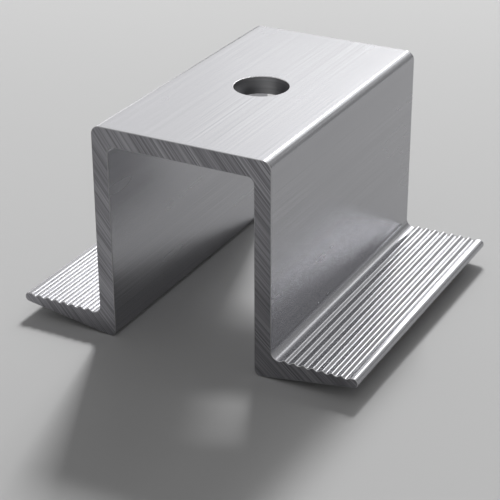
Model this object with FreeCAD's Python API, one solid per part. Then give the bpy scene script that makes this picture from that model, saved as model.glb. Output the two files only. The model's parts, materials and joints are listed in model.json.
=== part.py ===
import FreeCAD, Part
import math
import os

# A mid clamp for solar modules, sawn from one extruded aluminium bar of hat section.
# It stands on the rounded feet of its legs, web on top and ribbed wings near the floor.
# X runs across the section, Y along the extrusion and Z up, in millimetres.
# The origin is on the floor, under the middle of the clamp.

# Overall sizes
clamp_length = 50.0
channel_width = 29.2
clamp_height = 34.3
span_over_wings = 56.8

# Walls
web_thickness = 2.9
leg_thickness = 2.7
rib_crest_height = 3.7
wing_tip_thickness = 1.4

# Rounded edges of the section
web_corner_radius = 1.4
channel_corner_radius = 1.0
foot_radius = 1.0
root_fillet_radius = 1.3
wing_tip_radius = 0.7

# Grip ribs, made by grooves in the upper face of each wing
groove_pitch = 1.5
groove_depth = 0.33
rib_crest_radius = 0.5
groove_floor_radius = 0.5
tip_to_last_groove = 1.9

# Hole for an M8 bolt through the middle of the web
bolt_hole_diameter = 8.5
hole_rim_break = 0.1
drill_overrun = 1.0

# Places that follow from the sizes above
leg_outer_x = channel_width / 2
leg_inner_x = leg_outer_x - leg_thickness
wing_tip_x = span_over_wings / 2
web_inner_z = clamp_height - web_thickness
groove_floor_z = rib_crest_height - groove_depth
wing_tip_underside_z = rib_crest_height - wing_tip_thickness


def point(x, z):
    """Return a point of the section, which is drawn on the clamp's near sawn end."""
    return FreeCAD.Vector(x, -clamp_length / 2, z)


def held_below(limit, radius):
    """Return a radius, or a little less than its limit where it would reach that."""
    return min(radius, 0.99 * limit)


def rib_radii():
    """Return the radii of a rib's crest and of a groove's floor, as far as pitch and depth allow."""
    wanted = rib_crest_radius + groove_floor_radius
    limit = (groove_pitch**2 / 4 + groove_depth**2) / (2 * groove_depth)
    share = held_below(limit, wanted) / wanted
    return rib_crest_radius * share, groove_floor_radius * share


def rib_flank_angle():
    """Return the slope of a rib's flank, which touches its crest's arc and the groove floor's arc."""
    arcs = sum(rib_radii())
    across = groove_pitch / 2
    down = groove_depth - arcs
    return math.atan2(down, across) + math.asin(arcs / math.hypot(across, down))


def underside_angle():
    """Return the slope of a wing's underside, which rises from the round of the foot to the tip."""
    across = wing_tip_x - leg_inner_x - foot_radius
    up = wing_tip_underside_z - foot_radius
    return math.atan2(up, across) + math.asin(foot_radius / math.hypot(across, up))


def groove_middles():
    """Return where the grooves of the right wing lie, from the leg's root fillet out to the tip."""
    last_groove_x = wing_tip_x - tip_to_last_groove
    ribbed_width = last_groove_x - leg_outer_x - root_fillet_radius
    rib_count = int(ribbed_width / groove_pitch)
    return [last_groove_x - groove_pitch * step for step in range(rib_count, -1, -1)]


def rib_corners():
    """Return the sharp corners of the ribbed face, each with the radius that rounds it."""
    crest_radius, floor_radius = rib_radii()
    slope = math.tan(rib_flank_angle())
    sharpening = 1 / math.cos(rib_flank_angle()) - 1
    crest_z = rib_crest_height + crest_radius * sharpening
    floor_z = groove_floor_z - floor_radius * sharpening
    grooves = groove_middles()
    first_rib_foot_x = grooves[0] + groove_pitch / 2 - (crest_z - groove_floor_z) / slope
    corners = [(first_rib_foot_x, groove_floor_z, floor_radius)]
    for groove_x in grooves[1:]:
        corners.append((groove_x - groove_pitch / 2, crest_z, crest_radius))
        corners.append((groove_x, floor_z, floor_radius))
    tip_land_x = grooves[-1] + (rib_crest_height - floor_z) / slope
    corners.append((tip_land_x, rib_crest_height, crest_radius))
    return corners


def tip_corners(land_x):
    """Return the two corners of the wing's tip, rounded as far as its thickness and its land allow."""
    underside_turn = math.pi / 2 - underside_angle()
    thickness_limit = wing_tip_thickness / (1 + math.tan(underside_turn / 2))
    land_limit = wing_tip_x - land_x - rib_radii()[0] * math.tan(rib_flank_angle() / 2)
    radius = held_below(min(thickness_limit, land_limit), wing_tip_radius)
    return [(wing_tip_x, rib_crest_height, radius), (wing_tip_x, wing_tip_underside_z, radius)]


def right_half_corners():
    """Return the sharp corners of the section's right half, from the web's top round to its underside."""
    ribs = rib_corners()
    foot_z = wing_tip_underside_z - (wing_tip_x - leg_inner_x) * math.tan(underside_angle())
    return (
        [(leg_outer_x, clamp_height, web_corner_radius), (leg_outer_x, groove_floor_z, root_fillet_radius)]
        + ribs
        + tip_corners(ribs[-1][0])
        + [(leg_inner_x, foot_z, foot_radius), (leg_inner_x, web_inner_z, channel_corner_radius)]
    )


def corner_arc(before, corner, after, radius):
    """Return the arc of the given radius that touches both lines that meet at a corner."""
    to_before = (before - corner).normalize()
    to_after = (after - corner).normalize()
    half_angle = to_before.getAngle(to_after) / 2
    reach = radius / math.tan(half_angle)
    inward = (to_before + to_after).normalize()
    middle = corner + inward * (radius / math.sin(half_angle) - radius)
    return Part.Arc(corner + to_before * reach, middle, corner + to_after * reach)


def rounded_face(corners):
    """Return the face inside straight lines that run from corner to corner, each corner rounded."""
    places = [point(x, z) for x, z, radius in corners]
    arcs = []
    for number, (x, z, radius) in enumerate(corners):
        after = places[(number + 1) % len(places)]
        arcs.append(corner_arc(places[number - 1], places[number], after, radius))
    edges = []
    for number, arc in enumerate(arcs):
        edges.append(Part.LineSegment(arcs[number - 1].EndPoint, arc.StartPoint).toShape())
        edges.append(arc.toShape())
    return Part.Face(Part.Wire(edges))


def extruded_bar():
    """Return the bar: the right half's corners and their mirror image, pushed out along Y."""
    right = right_half_corners()
    left = [(-x, z, radius) for x, z, radius in reversed(right)]
    return rounded_face(right + left).extrude(FreeCAD.Vector(0, clamp_length, 0))


def drill_bolt_hole(bar):
    """Return the bar with the bolt hole drilled through its web and both rims broken."""
    radius = bolt_hole_diameter / 2
    start = FreeCAD.Vector(0, 0, web_inner_z - drill_overrun)
    drilled = bar.cut(Part.makeCylinder(radius, web_thickness + 2 * drill_overrun, start))
    rims = [edge for edge in drilled.Edges if isinstance(edge.Curve, Part.Circle) and edge.isClosed()]
    return drilled.makeChamfer(hole_rim_break, rims)


os.makedirs("parts", exist_ok=True)
clamp_body = drill_bolt_hole(extruded_bar())
clamp_body.exportStep("parts/clamp_body.step")
print(f"clamp_body: valid {clamp_body.isValid()}, {clamp_body.Volume:.1f} mm3, {len(clamp_body.Faces)} faces")
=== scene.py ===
"""Dresses the solar mid clamp: a sawn length of aluminium hat section with one bolt hole.

The clamp is drawn again from the section's own sizes, in a Geometry Nodes tree that rounds its
corners, repeats its grip ribs, pushes it out along the bar and drills it. It then gets a finish
for each way in which the real one is made: drawn through the die, sawn off, drilled, and broken
at its edges. The sawn ends are darker partly as painted shade, and the broken edges paler partly
as a painted highlight. X runs across the section, Y along the bar and Z up, in metres.
"""

import json
import logging
import math
from collections.abc import Mapping, Sequence
from dataclasses import dataclass, field, fields
from enum import Enum
from typing import Any, Optional, Union

import bpy
from mathutils import Matrix, Vector


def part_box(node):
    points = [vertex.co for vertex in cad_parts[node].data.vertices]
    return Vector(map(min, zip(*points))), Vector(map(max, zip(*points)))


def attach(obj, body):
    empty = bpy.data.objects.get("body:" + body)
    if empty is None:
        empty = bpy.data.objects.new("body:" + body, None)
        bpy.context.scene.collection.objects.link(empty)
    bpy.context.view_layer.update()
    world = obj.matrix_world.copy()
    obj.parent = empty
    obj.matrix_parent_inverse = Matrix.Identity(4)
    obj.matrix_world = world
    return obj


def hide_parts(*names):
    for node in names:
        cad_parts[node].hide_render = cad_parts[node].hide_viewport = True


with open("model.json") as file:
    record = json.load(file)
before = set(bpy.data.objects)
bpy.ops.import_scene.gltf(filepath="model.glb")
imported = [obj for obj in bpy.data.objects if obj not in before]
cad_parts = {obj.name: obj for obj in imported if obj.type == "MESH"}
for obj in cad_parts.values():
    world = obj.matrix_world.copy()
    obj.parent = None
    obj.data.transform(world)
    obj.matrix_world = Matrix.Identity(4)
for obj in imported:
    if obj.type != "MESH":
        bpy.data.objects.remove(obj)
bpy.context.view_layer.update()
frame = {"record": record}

LOG = logging.getLogger("mid_clamp")
MM = 0.001

Triple = tuple[float, float, float]
Colour = Triple
Number = Union[float, "Value"]
Socket = bpy.types.NodeSocket


class Value:
    """A socket that takes part in Python expressions, each of which adds its Math nodes."""

    def __init__(self, tree: "Tree", socket: Socket) -> None:
        """Keep the socket and the tree that it is in.

        Args:
            tree: The tree in which further nodes are made.
            socket: The output that holds the value.
        """
        self.tree = tree
        self.socket = socket

    def maths(self, operation: str, *others: Number) -> "Value":
        """Add one Math node that starts with this value.

        Args:
            operation: The Math node's operation.
            others: Its second and third numbers.

        Returns:
            The node's result.
        """
        return self.tree.maths(operation, self, *others)

    def __add__(self, other: Number) -> "Value":
        """Return this value plus another."""
        return self.maths("ADD", other)

    __radd__ = __add__

    def __sub__(self, other: Number) -> "Value":
        """Return this value less another."""
        return self.maths("SUBTRACT", other)

    def __rsub__(self, other: Number) -> "Value":
        """Return another value less this one."""
        return self.tree.maths("SUBTRACT", other, self)

    def __mul__(self, other: Number) -> "Value":
        """Return this value times another."""
        return self.maths("MULTIPLY", other)

    __rmul__ = __mul__

    def __truediv__(self, other: Number) -> "Value":
        """Return this value divided by another."""
        return self.maths("DIVIDE", other)

    def __rtruediv__(self, other: Number) -> "Value":
        """Return another value divided by this one."""
        return self.tree.maths("DIVIDE", other, self)

    def __neg__(self) -> "Value":
        """Return this value with its sign turned."""
        return self.maths("MULTIPLY", -1.0)

    def __mod__(self, other: Number) -> "Value":
        """Return what is left of this value after whole steps of another."""
        return self.maths("FLOORED_MODULO", other)

    def __abs__(self) -> "Value":
        """Return this value without its sign."""
        return self.maths("ABSOLUTE")

    def __gt__(self, other: Number) -> "Value":
        """Return 1 where this value is above another, and 0 elsewhere."""
        return self.maths("GREATER_THAN", other)

    def __lt__(self, other: Number) -> "Value":
        """Return 1 where this value is below another, and 0 elsewhere."""
        return self.maths("LESS_THAN", other)

    def fades(self, start: float, end: float) -> "Value":
        """Return a smooth step that goes from 0 at start to 1 at end.

        Args:
            start: Where the step begins.
            end: Where the step is complete.

        Returns:
            The step, never below 0 or above 1.
        """
        settings = {"interpolation_type": "SMOOTHSTEP"}
        sockets = {"Value": self, "From Min": start, "From Max": end}
        return self.tree.value("ShaderNodeMapRange", settings, sockets)


def hypotenuse(across: Value, along: Value) -> Value:
    """Return the length of a slanted line from its two square parts."""
    return (across * across + along * along).maths("SQRT")


class Tree:
    """A node tree that is filled in from Python, by one method for any node and expressions."""

    def __init__(self, nodes: bpy.types.NodeTree) -> None:
        """Keep the node tree that is filled in."""
        self.nodes = nodes

    def add(
        self,
        kind: str,
        settings: Optional[Mapping[str, Any]] = None,
        sockets: Optional[Mapping[Union[str, int], Any]] = None,
    ) -> bpy.types.Node:
        """Add a node, make its settings, and then set or link its inputs.

        Args:
            kind: The node's type.
            settings: Its properties, such as a Math node's operation.
            sockets: What goes into its inputs, by name or place: a value, a link, or a list of
                links.

        Returns:
            The node.
        """
        node = self.nodes.nodes.new(kind)
        for name, setting in (settings or {}).items():
            setattr(node, name, setting)
        for name, content in (sockets or {}).items():
            for part in content if isinstance(content, list) else [content]:
                source = part.socket if isinstance(part, Value) else part
                if isinstance(source, Socket):
                    self.nodes.links.new(source, node.inputs[name])
                else:
                    node.inputs[name].default_value = source
        return node

    def output(
        self,
        kind: str,
        settings: Optional[Mapping[str, Any]] = None,
        sockets: Optional[Mapping[Union[str, int], Any]] = None,
        name: Union[str, int] = 0,
    ) -> Socket:
        """Add a node as add does and return one of its outputs.

        Args:
            kind: The node's type.
            settings: Its properties.
            sockets: What goes into its inputs.
            name: The name or place of the output.

        Returns:
            The output.
        """
        return self.add(kind, settings, sockets).outputs[name]

    def value(
        self,
        kind: str,
        settings: Optional[Mapping[str, Any]] = None,
        sockets: Optional[Mapping[Union[str, int], Any]] = None,
        name: Union[str, int] = 0,
    ) -> Value:
        """Add a node as output does and return its output ready for expressions.

        Args:
            kind: The node's type.
            settings: Its properties.
            sockets: What goes into its inputs.
            name: The name or place of the output.

        Returns:
            The output as a value.
        """
        return Value(self, self.output(kind, settings, sockets, name))

    def maths(self, operation: str, *numbers: Number) -> Value:
        """Add one Math node.

        Args:
            operation: The node's operation.
            numbers: Its numbers, in order.

        Returns:
            The node's result.
        """
        return self.value("ShaderNodeMath", {"operation": operation}, dict(enumerate(numbers)))

    def place(self, x: Number = 0.0, y: Number = 0.0, z: Number = 0.0) -> Socket:
        """Return a vector of three numbers."""
        return self.output("ShaderNodeCombineXYZ", sockets={"X": x, "Y": y, "Z": z})

    def parts(self, vector: Socket) -> list[Value]:
        """Return the three numbers of a vector."""
        node = self.add("ShaderNodeSeparateXYZ", sockets={"Vector": vector})
        return [Value(self, part) for part in node.outputs]


class Surface(Enum):
    """The ways in which the clamp's surfaces are made, in the order of the piece's materials; the
    sawn ends also carry painted shade and the broken edges a painted highlight.
    """

    DRAWN = "drawn_aluminium"
    SAWN = "sawn_aluminium_painted_shade"
    DRILLED = "drilled_aluminium"
    BROKEN = "broken_edge_aluminium_painted_highlight"


@dataclass(frozen=True)
class Layer:
    """One layer of noise over a surface, and what it adds to the metal's look.

    Its steps say how many of its patches fit in a millimetre each way, its shift keeps it apart
    from the other layers, and a fade turns it from even noise into separate marks.
    """

    name: str
    steps: Triple
    shift: Triple = (0.0, 0.0, 0.0)
    detail: float = 2.0
    fade: Optional[tuple[float, float]] = None
    tone: float = 0.0
    tone_in_patches: float = 0.0
    roughness: float = 0.0
    relief: float = 0.0


class MetalNodes(Tree):
    """The node tree of one bare metal, with places read in millimetres from the piece itself."""

    MIX_SHARE = 0
    MIX_START = 6
    MIX_END = 7
    MIXED_COLOUR = 2
    NOISE_GAIN = 4.0
    FINER_DETAIL_SHARE = 0.6

    def __init__(self, surface: Surface) -> None:
        """Start a material that is named after the surface it is for.

        Args:
            surface: The kind of surface.
        """
        self.material = bpy.data.materials.new(surface.value)
        self.material.use_nodes = True
        super().__init__(self.material.node_tree)
        self.nodes.nodes.clear()
        spot = self.output("ShaderNodeTexCoord", name="Object")
        self.spot = [part / MM for part in self.parts(spot)]

    def noise(self, layer: Layer, places: Sequence[Value]) -> Value:
        """Return the smooth noise of one layer.

        Args:
            layer: How fine the noise is, and how it fades.
            places: The three places at which it is read, in millimetres.

        Returns:
            The noise, mostly between -1 and 1, or from 0 to 1 where it fades.
        """
        read = [
            place * step + shift for place, step, shift in zip(places, layer.steps, layer.shift)
        ]
        sockets = {
            "Vector": self.place(*read),
            "Scale": 1.0,
            "Detail": layer.detail,
            "Roughness": self.FINER_DETAIL_SHARE,
        }
        noise = self.value("ShaderNodeTexNoise", {"label": layer.name}, sockets)
        noise = noise * self.NOISE_GAIN - self.NOISE_GAIN / 2
        return noise.fades(*layer.fade) if layer.fade else noise

    def mix(self, share: Number, start: Colour, end: Colour) -> Socket:
        """Return a colour between two others.

        Args:
            share: 0 for the first colour and 1 for the second.
            start: The first colour.
            end: The second colour.

        Returns:
            The mixed colour.
        """
        settings = {"data_type": "RGBA", "clamp_factor": True}
        sockets = {self.MIX_SHARE: share, self.MIX_START: (*start, 1), self.MIX_END: (*end, 1)}
        return self.output("ShaderNodeMix", settings, sockets, self.MIXED_COLOUR)

    def finish(self, colour: Socket, roughness: Number, relief: Number) -> bpy.types.Material:
        """End the tree in a bare metal.

        Args:
            colour: The metal's colour.
            roughness: How wide its reflections are.
            relief: The height of its fine relief, in millimetres.

        Returns:
            The finished material.
        """
        sockets = {"Height": relief, "Distance": MM, "Strength": 1.0}
        bump = self.output("ShaderNodeBump", sockets=sockets)
        sockets = {"Base Color": colour, "Metallic": 1.0, "Roughness": roughness, "Normal": bump}
        metal = self.output("ShaderNodeBsdfPrincipled", sockets=sockets)
        self.add("ShaderNodeOutputMaterial", sockets={"Surface": metal})
        return self.material


@dataclass(frozen=True)
class Finish:
    """A bare metal whose tone, roughness and relief vary with layers of noise.

    Its patches, where it has them, are where a layer's tone counts for more.
    """

    surface: Surface
    deep: Colour
    pale: Colour
    tone: float
    roughness: float
    layers: tuple[Layer, ...]
    patches: Optional[Layer] = None

    def places(self, metal: MetalNodes) -> list[Value]:
        """Return the places at which the layers are read, here the piece's own x, y and z."""
        return metal.spot

    def material(self) -> bpy.types.Material:
        """Build the finish.

        Returns:
            The material.
        """
        metal = MetalNodes(self.surface)
        places = self.places(metal)
        patches = metal.noise(self.patches, places) if self.patches else None
        tone: Number = self.tone
        roughness: Number = self.roughness
        relief: Number = 0.0
        for layer in self.layers:
            noise = metal.noise(layer, places)
            share: Number = layer.tone
            if patches and layer.tone_in_patches:
                share = patches * layer.tone_in_patches + share
            tone = tone + noise * share
            if layer.roughness:
                roughness = roughness + noise * layer.roughness
            if layer.relief:
                relief = relief + noise * layer.relief
        return metal.finish(metal.mix(tone, self.deep, self.pale), roughness, relief)


@dataclass(frozen=True)
class DrawnFinish(Finish):
    """Mill finish of the extruded faces: die lines along the bar, which stand out in patches."""

    surface: Surface = Surface.DRAWN
    deep: Colour = (0.35, 0.35, 0.365)
    pale: Colour = (0.485, 0.485, 0.505)
    tone: float = 0.5
    roughness: float = 0.25
    layers: tuple[Layer, ...] = (
        Layer(
            "die lines",
            (2.6, 0.002, 2.6),
            detail=1.0,
            tone=0.09,
            tone_in_patches=0.16,
            relief=0.0003,
        ),
        Layer(
            "fine die lines",
            (6.0, 0.004, 6.0),
            detail=0.0,
            tone=0.05,
            tone_in_patches=0.16,
            relief=0.0001,
        ),
        Layer("bands", (0.35, 0.006, 0.35), (0.0, 7.0, 0.0), 1.0, tone=0.10, roughness=0.02),
        Layer("cloud", (0.10, 0.07, 0.10), (0.0, 0.0, 5.0), tone=0.08, roughness=0.03),
    )
    patches: Optional[Layer] = Layer(
        "patches", (0.09, 0.05, 0.09), (0.0, 0.0, 9.0), 1.0, fade=(-0.3, 0.9)
    )


@dataclass(frozen=True)
class SawnFinishWithPaintedShade(Finish):
    """Marks of a large saw blade on the bar's ends: nearly straight arcs, uneven in width.
    Its colour is darker than the drawn faces, partly for the rough sawn metal and partly as
    painted shade on the ends.

    Its layers are read at the distance from the blade's middle, along the marks, and along the
    bar, so that the two ends differ.
    """

    surface: Surface = Surface.SAWN
    # The dark colours stand partly for rough sawn metal and partly for painted shade on the bar's
    # ends.
    deep: Colour = (0.17, 0.168, 0.180)
    pale: Colour = (0.42, 0.417, 0.440)
    tone: float = 0.42
    roughness: float = 0.46
    layers: tuple[Layer, ...] = (
        Layer("marks", (5.5, 0.02, 0.13), detail=1.0, tone=0.44, relief=0.004),
        Layer(
            "fine marks",
            (12.0, 0.03, 0.13),
            (0.0, 0.0, 4.0),
            0.0,
            tone=0.34,
            roughness=0.04,
            relief=0.0008,
        ),
        Layer("swaths", (0.45, 0.02, 0.13), (0.0, 0.0, 9.0), tone=0.10),
        Layer(
            "streaks",
            (6.0, 0.03, 0.13),
            (0.0, 0.0, 15.0),
            0.0,
            fade=(0.8, 1.3),
            tone=0.70,
            roughness=-0.08,
        ),
    )
    blade_radius: float = 180.0
    mark_angle: float = math.radians(-48.0)
    section_middle_z: float = 17.0

    def places(self, metal: MetalNodes) -> list[Value]:
        """Turn the places round the blade's middle.

        Args:
            metal: The finish's node tree.

        Returns:
            The distance from the blade's middle, and how far along the marks and the bar.
        """
        x, y, z = metal.spot
        across, up = math.cos(self.mark_angle), math.sin(self.mark_angle)
        blade_x = -self.blade_radius * up
        blade_z = self.blade_radius * across + self.section_middle_z
        return [hypotenuse(x - blade_x, z - blade_z), x * across + z * up, y]


@dataclass(frozen=True)
class DrilledFinish(Finish):
    """Bore of the bolt hole: fine rings and scores that the drill's lips leave."""

    surface: Surface = Surface.DRILLED
    deep: Colour = (0.30, 0.30, 0.31)
    pale: Colour = (0.56, 0.56, 0.57)
    tone: float = 0.45
    roughness: float = 0.42
    layers: tuple[Layer, ...] = (
        Layer("rings", (0.12, 0.12, 4.0), detail=1.0, tone=0.25, roughness=0.04, relief=0.0012),
        Layer("scores", (0.3, 0.3, 2.0), (0.0, 0.0, 5.0), 1.0, fade=(0.8, 1.2), tone=0.3),
    )


@dataclass(frozen=True)
class BrokenEdgeFinishWithPaintedHighlight(Finish):
    """Broken edges: bright metal, rubbed by the deburring wheel and by handling, and partly a
    painted highlight along the edges.
    """

    surface: Surface = Surface.BROKEN
    # The pale colours are partly rubbed metal and partly a painted highlight on the edges and the
    # hole's rim.
    deep: Colour = (0.44, 0.44, 0.45)
    pale: Colour = (0.72, 0.72, 0.73)
    tone: float = 0.5
    roughness: float = 0.28
    layers: tuple[Layer, ...] = (
        Layer("nicks", (2.5, 2.5, 2.5), detail=3.0, tone=0.22, roughness=0.05, relief=0.003),
        Layer("rubbed places", (0.25, 0.25, 0.25), (0.0, 0.0, 3.0), tone=0.25),
    )


@dataclass
class HatSection:
    """Sizes of the section and of the hole through its web, as on the maker's drawing."""

    length: Number = 50.0 * MM
    channel_width: Number = 29.2 * MM
    height: Number = 34.3 * MM
    span: Number = 56.8 * MM
    web_thickness: Number = 2.9 * MM
    leg_thickness: Number = 2.7 * MM
    crest_height: Number = 3.7 * MM
    tip_thickness: Number = 1.4 * MM
    web_radius: Number = 1.4 * MM
    channel_radius: Number = 1.0 * MM
    foot_radius: Number = 1.0 * MM
    root_radius: Number = 1.3 * MM
    tip_radius: Number = 0.7 * MM
    groove_pitch: Number = 1.5 * MM
    groove_depth: Number = 0.33 * MM
    rib_radius: Number = 0.5 * MM
    tip_land: Number = 1.9 * MM
    hole_radius: Number = 4.25 * MM
    rim_break: Number = 0.1 * MM

    def fit_to(self, low: Vector, high: Vector, mounts: Sequence[Mapping[str, Any]]) -> None:
        """Take the overall sizes from the solid, and the hole's size from its mount.

        Args:
            low: The solid's lowest corner.
            high: The solid's highest corner.
            mounts: The part's mounts, among them the bolt hole.
        """
        self.span, self.length, self.height = high - low
        bore = next(mount for mount in mounts if mount["kind"] == "bore")
        self.hole_radius = bore["dims"]["r_mm"] * MM


class BarNodes(Tree):
    """The Geometry Nodes tree that draws the section, pushes it out as a bar and drills it."""

    ORDER = "order_round_the_section"
    ARC_STEPS = 8
    DRILL_SIDES = 96
    DRILL_REACH = 2
    COUNTERSINK_REACH = 2
    WELD = 0.005 * MM
    ASLANT = 0.1
    SQUARE_ON = 0.9

    def __init__(self, finishes: Mapping[Surface, bpy.types.Material]) -> None:
        """Make the whole tree, with one named input for each size of the section.

        Args:
            finishes: The material of each kind of surface.
        """
        super().__init__(bpy.data.node_groups.new("drilled_hat_bar", "GeometryNodeTree"))
        self.keys: dict[str, str] = {}
        sockets = self.nodes.interface
        for size in fields(HatSection):
            label = size.name.replace("_", " ").capitalize()
            socket = sockets.new_socket(label, in_out="INPUT", socket_type="NodeSocketFloat")
            self.keys[size.name] = socket.identifier
        sockets.new_socket("Bar", in_out="OUTPUT", socket_type="NodeSocketGeometry")
        given = self.add("NodeGroupInput").outputs
        self.size = HatSection(*(Value(self, given[number]) for number in range(len(self.keys))))
        drilled = self.drilled(self.bar())
        bar = self.output("GeometryNodeRealizeInstances", sockets={"Geometry": drilled})
        self.add("NodeGroupOutput", sockets={"Bar": self.dressed(bar, finishes)})

    def corner(
        self, x: Number, z: Number, radius: Number, order: Number, count: Number = 1
    ) -> Socket:
        """Add one corner of the section, or a row of them where its place depends on the index.

        Args:
            x: How far across the section the sharp corner lies.
            z: How high it lies.
            radius: The radius that rounds it.
            order: Its place in the way round the right half of the section.
            count: How many corners the row has.

        Returns:
            The corner points, in the plane that the curve nodes fill.
        """
        sockets = {"Count": count, "Position": self.place(x, z), "Radius": radius}
        return self.numbered(self.output("GeometryNodePoints", sockets=sockets), order)

    def numbered(self, points: Socket, order: Number) -> Socket:
        """Store on each point its place in the way round the section.

        Args:
            points: The corner points.
            order: Their places.

        Returns:
            The same points.
        """
        settings = {"data_type": "FLOAT", "domain": "POINT"}
        sockets = {"Geometry": points, "Name": self.ORDER, "Value": order}
        return self.output("GeometryNodeStoreNamedAttribute", settings, sockets)

    def joined(self, *parts: Socket) -> Socket:
        """Return several shapes as one."""
        return self.output("GeometryNodeJoinGeometry", sockets={"Geometry": list(parts)})

    def welded(self, shape: Socket) -> Socket:
        """Return a shape with one point where several lie as good as together."""
        sockets = {"Geometry": shape, "Distance": self.WELD}
        return self.output("GeometryNodeMergeByDistance", sockets=sockets)

    def moved(self, shape: Socket, **change: Any) -> Socket:
        """Return a shape changed by a Transform node's translation, rotation or scale."""
        sockets = {name.capitalize(): amount for name, amount in change.items()}
        return self.output("GeometryNodeTransform", sockets={"Geometry": shape, **sockets})

    def right_half(self) -> Socket:
        """Add the right half's corners, from the web's round past ribs and foot to the channel.

        Returns:
            The corner points, each with its radius and its place in the way round.
        """
        size = self.size
        leg_x = size.channel_width / 2
        inner_x = leg_x - size.leg_thickness
        tip_x = size.span / 2
        groove_z = size.crest_height - size.groove_depth
        under_z = size.crest_height - size.tip_thickness

        arcs = size.rib_radius * 2
        across = size.groove_pitch / 2
        down = size.groove_depth - arcs
        flank = self.touching(across, down, arcs)
        slope = flank.maths("TANGENT")
        sharpening = size.rib_radius * (1 / flank.maths("COSINE") - 1)
        crest_z = size.crest_height + sharpening
        floor_z = groove_z - sharpening

        last_x = tip_x - size.tip_land
        ribs = ((last_x - leg_x - size.root_radius) / size.groove_pitch).maths("FLOOR")
        first_x = last_x - ribs * size.groove_pitch
        first_rib_x = first_x + across - (crest_z - groove_z) / slope
        land_x = last_x + (size.crest_height - floor_z) / slope
        step = self.value("GeometryNodeInputIndex")
        turns = ribs * 2
        turn_x = first_x + across * (step + 1)
        turn_z = crest_z - (crest_z - floor_z) * (step % 2)

        reach = tip_x - inner_x - size.foot_radius
        rise = under_z - size.foot_radius
        tilt = self.touching(reach, rise, size.foot_radius)
        foot_z = under_z - (tip_x - inner_x) * tilt.maths("TANGENT")

        before_ribs = [
            (leg_x, size.height, size.web_radius),
            (leg_x, groove_z, size.root_radius),
            (first_rib_x, groove_z, size.rib_radius),
        ]
        after_ribs = [
            (land_x, size.crest_height, size.rib_radius),
            (tip_x, size.crest_height, size.tip_radius),
            (tip_x, under_z, size.tip_radius),
            (inner_x, foot_z, size.foot_radius),
            (inner_x, size.height - size.web_thickness, size.channel_radius),
        ]
        first_turn = len(before_ribs) + 1
        return self.joined(
            *(self.corner(*place, order) for order, place in enumerate(before_ribs, 1)),
            self.corner(turn_x, turn_z, size.rib_radius, step + first_turn, turns),
            *(
                self.corner(*place, turns + order)
                for order, place in enumerate(after_ribs, first_turn)
            ),
        )

    def touching(self, across: Value, up: Value, arcs: Value) -> Value:
        """Return the slope of a line that touches two arcs, or one arc and a point.

        Args:
            across: How far the middle of one lies across from that of the other.
            up: How far it lies above it.
            arcs: The sum of their radii.

        Returns:
            The slope, in radians.
        """
        return up.maths("ARCTAN2", across) + (arcs / hypotenuse(across, up)).maths("ARCSINE")

    def section_face(self) -> Socket:
        """Round the corners of both halves and fill them.

        Returns:
            The section as one face on the near end of the bar, which faces outwards.
        """
        right = self.right_half()
        settings = {"data_type": "FLOAT"}
        order = self.value("GeometryNodeInputNamedAttribute", settings, {"Name": self.ORDER})
        left = self.numbered(self.moved(right, scale=(-1, 1, 1)), -order)
        sockets = {"Points": self.joined(right, left), "Weight": order}
        outline = self.output("GeometryNodePointsToCurves", sockets=sockets)
        sockets = {"Geometry": outline, "Cyclic": True}
        closed = self.output("GeometryNodeSetSplineCyclic", sockets=sockets)
        radius = self.output("GeometryNodeInputRadius")
        sockets = {"Curve": closed, "Count": self.ARC_STEPS, "Radius": radius}
        rounded = self.output("GeometryNodeFilletCurve", {"mode": "POLY"}, sockets)
        filled = self.output("GeometryNodeFillCurve", {"mode": "NGONS"}, {"Curve": rounded})
        near_end = self.place(0, -self.size.length / 2)
        return self.moved(filled, rotation=(math.pi / 2, 0, 0), translation=near_end)

    def bar(self) -> Socket:
        """Push the section out along the bar.

        Returns:
            The closed bar, before it is drilled.
        """
        near = self.section_face()
        start = self.output("GeometryNodeFlipFaces", sockets={"Mesh": near})
        sockets = {"Mesh": start, "Offset": self.place(0, self.size.length), "Individual": False}
        pushed = self.output("GeometryNodeExtrudeMesh", {"mode": "FACES"}, sockets)
        return self.welded(self.joined(near, pushed))

    def countersink(self, face_z: Number, outwards: int) -> Socket:
        """Add the cone that breaks one rim of the hole.

        Args:
            face_z: The height of the face in which the rim lies.
            outwards: 1 where that face looks up, -1 where it looks down.

        Returns:
            The cone, half inside the web.
        """
        size = self.size
        sockets = {
            "Vertices": self.DRILL_SIDES,
            "Radius Bottom": size.hole_radius - size.rim_break * (self.COUNTERSINK_REACH - 1),
            "Radius Top": size.hole_radius + size.rim_break * (self.COUNTERSINK_REACH + 1),
            "Depth": size.rim_break * (self.COUNTERSINK_REACH * 2),
        }
        cone = self.output("GeometryNodeMeshCone", sockets=sockets)
        start = self.place(0, 0, face_z - size.rim_break * (self.COUNTERSINK_REACH * outwards))
        return self.moved(cone, translation=start, rotation=(0 if outwards > 0 else math.pi, 0, 0))

    def drilled(self, bar: Socket) -> Socket:
        """Drill the bolt hole through the web and break both its rims.

        Args:
            bar: The bar to drill.

        Returns:
            The drilled bar.
        """
        size = self.size
        depth = size.web_thickness * self.DRILL_REACH
        sockets = {"Vertices": self.DRILL_SIDES, "Radius": size.hole_radius, "Depth": depth}
        drill = self.output("GeometryNodeMeshCylinder", sockets=sockets)
        cutters = [
            self.moved(drill, translation=self.place(0, 0, size.height - size.web_thickness / 2)),
            self.countersink(size.height, 1),
            self.countersink(size.height - size.web_thickness, -1),
        ]
        settings = {"operation": "DIFFERENCE", "solver": "EXACT"}
        sockets = {"Mesh 1": bar, "Mesh 2": cutters}
        return self.welded(self.output("GeometryNodeMeshBoolean", settings, sockets))

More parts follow.
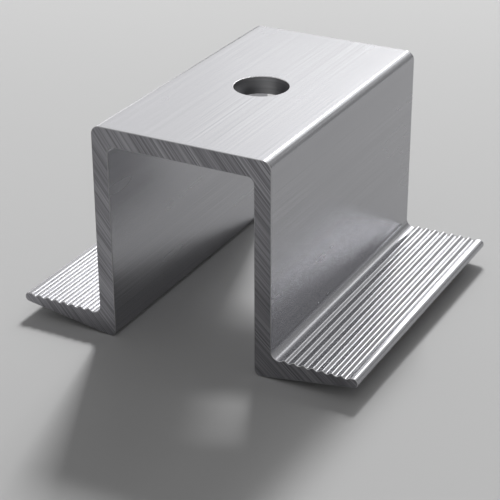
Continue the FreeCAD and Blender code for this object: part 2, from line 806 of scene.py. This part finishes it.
    def dressed(self, bar: Socket, finishes: Mapping[Surface, bpy.types.Material]) -> Socket:
        """Give each face the finish of the way in which it is made.

        Args:
            bar: The drilled bar.
            finishes: The material of each kind of surface.

        Returns:
            The bar with its materials.
        """
        _, facing_y, facing_z = self.parts(self.output("GeometryNodeInputNormal"))
        x, y, _ = self.parts(self.output("GeometryNodeInputPosition"))
        upright = abs(facing_z)
        near_hole = hypotenuse(x, y) < self.size.hole_radius + self.size.rim_break
        at_hole = near_hole * (upright < self.SQUARE_ON)
        where: dict[Surface, Union[bool, Value]] = {
            Surface.DRAWN: True,
            # The sawn ends take the darker finish, which is partly painted shade.
            Surface.SAWN: abs(facing_y) > self.SQUARE_ON,
            Surface.DRILLED: at_hole,
            # The hole's rim chamfer takes the finish with the painted highlight.
            Surface.BROKEN: at_hole * (upright > self.ASLANT),
        }
        for surface, selection in where.items():
            sockets = {"Geometry": bar, "Selection": selection, "Material": finishes[surface]}
            bar = self.output("GeometryNodeSetMaterial", sockets=sockets)
        return bar


@dataclass
class ClampBody:
    """The clamp itself: one bar of hat section, drilled, with its edges broken at both ends."""

    node: str = "clamp_body"
    name: str = "ribbed_hat_clamp"
    slot: str = "mill_aluminium"
    section: HatSection = field(default_factory=HatSection)
    edge_break: float = 0.10 * MM
    edge_steps: int = 2
    edge_angle: float = math.radians(60.0)

    def build(self) -> bpy.types.Object:
        """Build the clamp in place of its solid and let it ride on the frame.

        Returns:
            The finished piece.
        """
        self.section.fit_to(*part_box(self.node), frame["record"]["mounts"])
        clamp = self.broken_edges(self.bar(self.finishes()))
        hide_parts(self.node)
        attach(clamp, "root")
        return clamp

    def finishes(self) -> dict[Surface, bpy.types.Material]:
        """Return the material of each kind of surface."""
        made = (DrawnFinish(), SawnFinishWithPaintedShade(), DrilledFinish(), BrokenEdgeFinishWithPaintedHighlight())
        return {finish.surface: finish.material() for finish in made}

    def bar(self, finishes: Mapping[Surface, bpy.types.Material]) -> bpy.types.Object:
        """Run the Geometry Nodes tree with the section's sizes.

        Args:
            finishes: The material of each kind of surface.

        Returns:
            The drilled bar as a plain mesh, with sharp ends.
        """
        tree = BarNodes(finishes)
        bar = bpy.data.objects.new(self.name, bpy.data.meshes.new(self.name))
        bpy.context.scene.collection.objects.link(bar)
        nodes = bar.modifiers.new("section", "NODES")
        nodes.node_group = tree.nodes
        for size, key in tree.keys.items():
            nodes[key] = getattr(self.section, size)
        return self.settled(bar)

    def broken_edges(self, bar: bpy.types.Object) -> bpy.types.Object:
        """Break the edges round both ends and keep the flats flat beside the rounds.

        Args:
            bar: The bar with sharp ends.

        Returns:
            The same object with its final mesh.
        """
        edges = bar.modifiers.new("broken_edges", "BEVEL")
        edges.width = self.edge_break
        edges.segments = self.edge_steps
        edges.limit_method = "ANGLE"
        edges.angle_limit = self.edge_angle
        edges.use_clamp_overlap = False
        # The broken end edges take the finish with the painted highlight.
        edges.material = list(Surface).index(Surface.BROKEN)
        bar.modifiers.new("flats", "WEIGHTED_NORMAL")
        bar.data.shade_smooth()
        return self.settled(bar)

    def settled(self, piece: bpy.types.Object) -> bpy.types.Object:
        """Make what the piece's modifiers show its plain mesh.

        Args:
            piece: The object with its modifiers.

        Returns:
            The same object, without modifiers.
        """
        shown = piece.evaluated_get(bpy.context.evaluated_depsgraph_get())
        piece.data = bpy.data.meshes.new_from_object(shown)
        piece.modifiers.clear()
        return piece


def direction(turn: float, lift: float) -> Vector:
    """Return the unit vector at a turn from +Y towards +X and a lift, both in radians."""
    level = math.cos(lift)
    return Vector((math.sin(turn) * level, math.cos(turn) * level, math.sin(lift)))


@dataclass(frozen=True)
class Softbox:
    """A soft rectangular lamp that looks at the clamp, from an azimuth and elevation in degrees."""

    name: str
    azimuth: float
    elevation: float
    width: float
    height: float
    power: float
    distance: float = 1.2
    glossy: bool = True

    def hang(self) -> None:
        """Hang the lamp in its place, turned to the clamp's foot."""
        away = direction(math.radians(self.azimuth), math.radians(self.elevation))
        light = bpy.data.lights.new(self.name, "AREA")
        light.shape = "RECTANGLE"
        light.size = self.width
        light.size_y = self.height
        light.energy = self.power
        lamp = bpy.data.objects.new(self.name, light)
        lamp.location = away * self.distance
        lamp.rotation_euler = away.to_track_quat("Z", "Y").to_euler()
        lamp.visible_glossy = self.glossy
        bpy.context.scene.collection.objects.link(lamp)


@dataclass
class Studio:
    """The floor, the lights and the camera: nothing of the clamp itself."""

    floor_reach: float = 1.5
    floor_colour: Colour = (0.60, 0.60, 0.60)
    floor_roughness: float = 0.9
    floor_shine: float = 0.1
    room_light: float = 0.22
    room_seen: float = 0.40
    wall_seen: float = 0.95
    wall_start: float = -0.25
    wall_end: float = 0.45
    softboxes: tuple[Softbox, ...] = (
        Softbox("key", -21.0, 41.0, width=0.18, height=0.18, power=10.7, glossy=False),
        Softbox("window", -14.0, 37.4, width=0.23, height=0.33, power=2.05),
        Softbox("sheet", -14.0, 30.0, width=0.97, height=0.64, power=1.80),
        Softbox("strip", 1.0, 25.0, width=1.26, height=0.084, power=0.28),
        Softbox("brow", 4.0, 41.0, width=0.64, height=0.17, power=0.33),
        Softbox("left_panel", -43.0, 9.0, width=0.25, height=0.36, power=0.42),
    )
    camera_place: Triple = (105.9387 * MM, -201.8729 * MM, 121.2253 * MM)
    camera_yaw: float = math.radians(-28.153)
    camera_dip: float = math.radians(26.7215)
    camera_roll: float = math.radians(-0.251)
    sensor_width: float = 36.0
    frame_pixels: float = 500.0
    focal_pixels: float = 1599.07

    def build(self) -> None:
        """Set up the floor, the world, the lights and the camera."""
        self.floor()
        self.world()
        self.lamps()
        self.camera()

    def floor(self) -> None:
        """Lay the pale floor."""
        reach = self.floor_reach
        mesh = bpy.data.meshes.new("floor")
        corners = [(-reach, -reach, 0), (reach, -reach, 0), (reach, reach, 0), (-reach, reach, 0)]
        mesh.from_pydata(corners, [], [(0, 1, 2, 3)])
        material = bpy.data.materials.new("matt_floor")
        material.use_nodes = True
        matt = material.node_tree.nodes["Principled BSDF"].inputs
        matt["Base Color"].default_value = (*self.floor_colour, 1)
        matt["Roughness"].default_value = self.floor_roughness
        matt["Specular IOR Level"].default_value = self.floor_shine
        mesh.materials.append(material)
        floor = bpy.data.objects.new("floor", mesh)
        bpy.context.scene.collection.objects.link(floor)

    def world(self) -> None:
        """Fill the room with even light, and show it paler in the metal, most of all its near wall.

        The near wall is on the camera's side. The room brightens from wall_start to wall_end,
        which say how far a direction points towards that wall.
        """
        world = bpy.data.worlds.new("studio")
        bpy.context.scene.world = world
        world.use_nodes = True
        tree = Tree(world.node_tree)
        ray = tree.add("ShaderNodeLightPath").outputs
        straight, mirrored, passed = (
            Value(tree, ray[name])
            for name in ("Is Camera Ray", "Is Glossy Ray", "Is Transmission Ray")
        )
        seen = straight.maths("MAXIMUM", mirrored).maths("MAXIMUM", passed)
        ahead = tree.parts(tree.output("ShaderNodeTexCoord", name="Generated"))[1]
        wall = (-ahead).fades(self.wall_start, self.wall_end)
        pale = wall * (self.wall_seen - self.room_seen) + self.room_seen
        strength = seen * (pale - self.room_light) + self.room_light
        background = world.node_tree.nodes["Background"].inputs
        background["Color"].default_value = (1, 1, 1, 1)
        world.node_tree.links.new(strength.socket, background["Strength"])

    def lamps(self) -> None:
        """Hang each lamp."""
        for softbox in self.softboxes:
            softbox.hang()

    def camera(self) -> None:
        """Place the camera as the photograph's lines give it."""
        ahead = direction(self.camera_yaw, -self.camera_dip)
        level = Vector((math.cos(self.camera_yaw), -math.sin(self.camera_yaw), 0))
        above = level.cross(ahead)
        right = level * math.cos(self.camera_roll) + above * math.sin(self.camera_roll)
        up = above * math.cos(self.camera_roll) - level * math.sin(self.camera_roll)
        lens = bpy.data.cameras.new("camera")
        lens.sensor_width = self.sensor_width
        lens.lens = self.sensor_width * self.focal_pixels / self.frame_pixels
        camera = bpy.data.objects.new("camera", lens)
        turn = Matrix((right, up, -ahead)).transposed().to_4x4()
        camera.matrix_world = Matrix.Translation(Vector(self.camera_place)) @ turn
        bpy.context.scene.collection.objects.link(camera)
        bpy.context.scene.camera = camera


def main() -> None:
    """Build the clamp and the studio in order, and report each."""
    logging.basicConfig(level=logging.INFO, format="%(name)s: %(message)s")
    bpy.context.scene.view_settings.view_transform = "Standard"
    clamp = ClampBody().build()
    LOG.info("%s: %d faces", clamp.name, len(clamp.data.polygons))
    Studio().build()
    LOG.info("studio: %d lamps", len(bpy.data.lights))


if __name__ == "__main__":
    main()
